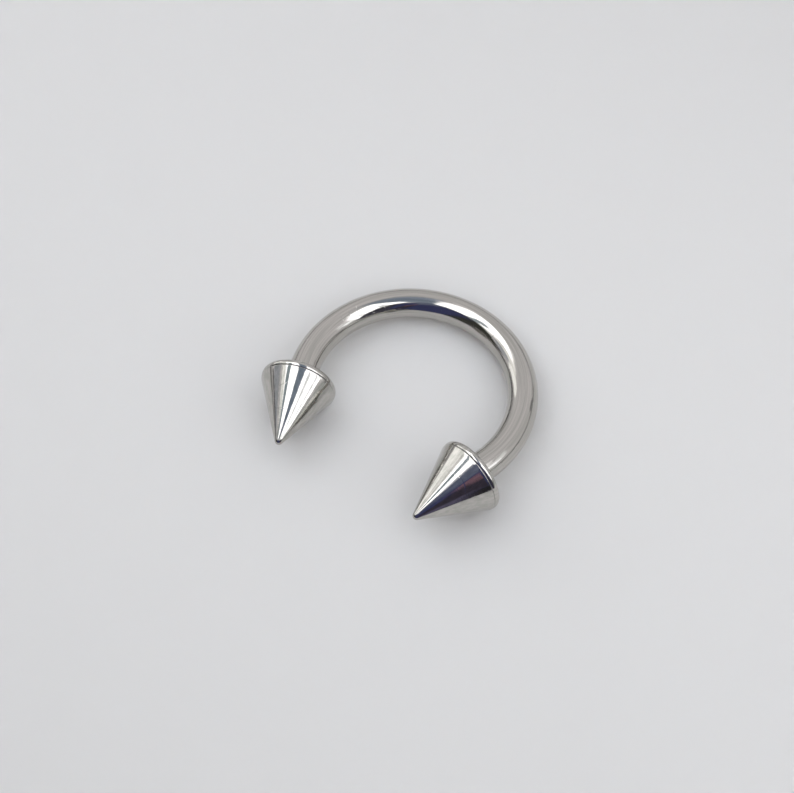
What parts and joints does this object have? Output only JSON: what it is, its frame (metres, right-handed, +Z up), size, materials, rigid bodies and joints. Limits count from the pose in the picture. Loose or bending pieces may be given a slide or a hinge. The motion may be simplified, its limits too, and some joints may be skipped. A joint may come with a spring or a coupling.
{
  "type": "horseshoe barbell",
  "caption": "Open ring of round polished steel bar with a cone-shaped spike screwed onto each end, worn through a piercing.",
  "frame": {"origin": "middle of the part seen from above, on the surface it lies on", "axes": "+Z up from the surface, +Y towards the closed back of the ring, +X to the right as seen from the open side"},
  "size_m": [0.0142, 0.013, 0.004],
  "materials": {
    "bar_steel": "polished surgical stainless steel with fine lengthwise polishing lines",
    "spike_steel": "bright turned and polished surgical stainless steel"
  },
  "bodies": {
    "curved_bar": {"curved_bar": "bar_steel"},
    "left_spike": {"left_spike": "spike_steel"},
    "right_spike": {"right_spike": "spike_steel"}
  },
  "joints": [
    {"name": "left_spike_off", "type": "slide", "parent": "curved_bar", "child": "left_spike", "axis": [0.304, -0.9436, 0.131], "range_m": [0, 0.004]},
    {"name": "right_spike_off", "type": "slide", "parent": "curved_bar", "child": "right_spike", "axis": [-0.304, -0.9436, 0.131], "range_m": [0, 0.004]}
  ]
}
